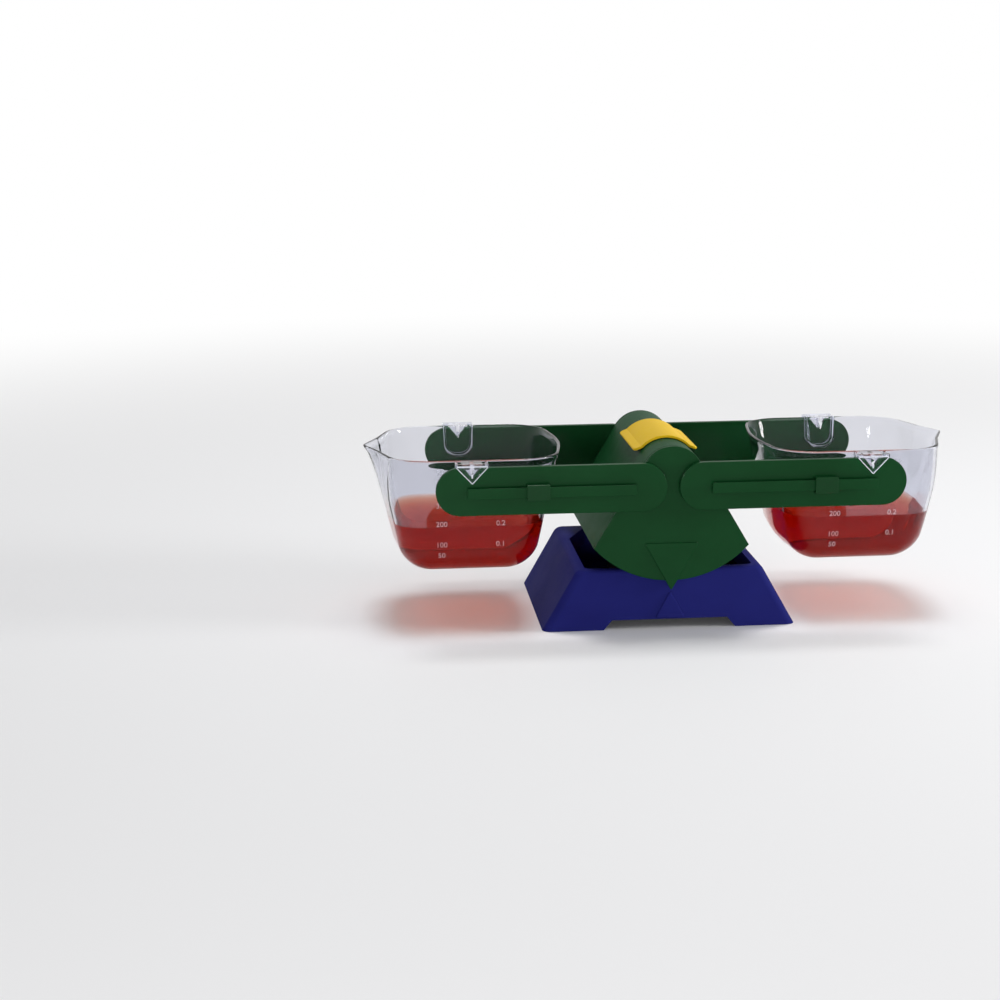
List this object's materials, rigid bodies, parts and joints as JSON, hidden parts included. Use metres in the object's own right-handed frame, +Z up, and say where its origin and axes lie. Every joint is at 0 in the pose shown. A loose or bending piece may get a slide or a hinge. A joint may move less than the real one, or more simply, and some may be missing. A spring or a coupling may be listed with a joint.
{
  "type": "bucket balance",
  "caption": "Classroom balance: a beam tilts on a knife edge over a hollow base, with a clear pouring bucket hung at each end, a zeroing saddle and sliding riders.",
  "frame": {"origin": "centre of the base's footprint, on the surface that the balance stands on", "axes": "+X along the beam to the right end seen from the front, +Y from the front to the rear, +Z up"},
  "size_m": [0.3602, 0.138, 0.1136],
  "materials": {
    "blue_base": "moulded blue plastic, satin",
    "green_beam": "moulded dark green plastic, satin",
    "yellow_saddle": "moulded yellow plastic",
    "clear_bucket": "clear polished plastic",
    "dark_frame": "moulded dark plastic",
    "white_bearing": "slippery white plastic",
    "steel": "bright steel"
  },
  "bodies": {
    "base": {"base_shell": "blue_base", "pivot_frame": "dark_frame", "frame_screw_1": "steel", "frame_screw_2": "steel", "frame_screw_3": "steel", "frame_screw_4": "steel", "bearing_front": "white_bearing", "bearing_rear": "white_bearing"},
    "beam": {"housing": "green_beam", "front_plate": "green_beam", "rear_plate": "green_beam", "knife_bar": "steel", "arm_front_left": "green_beam", "arm_front_right": "green_beam", "arm_rear_left": "green_beam", "arm_rear_right": "green_beam", "arm_screw_front_1": "steel", "arm_screw_front_2": "steel", "arm_screw_front_3": "steel", "arm_screw_front_4": "steel", "arm_screw_rear_1": "steel", "arm_screw_rear_2": "steel", "arm_screw_rear_3": "steel", "arm_screw_rear_4": "steel"},
    "saddle": {"zero_saddle": "yellow_saddle"},
    "left_rider": {"rider_left": "green_beam"},
    "right_rider": {"rider_right": "green_beam"},
    "left_bucket": {"bucket_left": "clear_bucket"},
    "right_bucket": {"bucket_right": "clear_bucket"}
  },
  "joints": [
    {"name": "beam_tilt", "type": "hinge", "parent": "base", "child": "beam", "pos_m": [0, 0, 0.093], "axis": [0, 1, 0], "range_deg": [-12, 12]},
    {"name": "saddle_turn", "type": "hinge", "parent": "beam", "child": "saddle", "pos_m": [0, 0, 0.093], "axis": [0, 1, 0], "range_deg": [-12, 12]},
    {"name": "rider_left_slide", "type": "slide", "parent": "beam", "child": "left_rider", "axis": [1, 0, 0], "range_m": [-0.034, 0.0505]},
    {"name": "rider_right_slide", "type": "slide", "parent": "beam", "child": "right_rider", "axis": [1, 0, 0], "range_m": [-0.0605, 0.024]},
    {"name": "bucket_left_swing", "type": "hinge", "parent": "beam", "child": "left_bucket", "pos_m": [-0.1182, 0, 0.097], "axis": [0, 1, 0], "range_deg": [-12, 12]},
    {"name": "bucket_right_swing", "type": "hinge", "parent": "beam", "child": "right_bucket", "pos_m": [0.1182, 0, 0.097], "axis": [0, 1, 0], "range_deg": [-12, 12]}
  ]
}
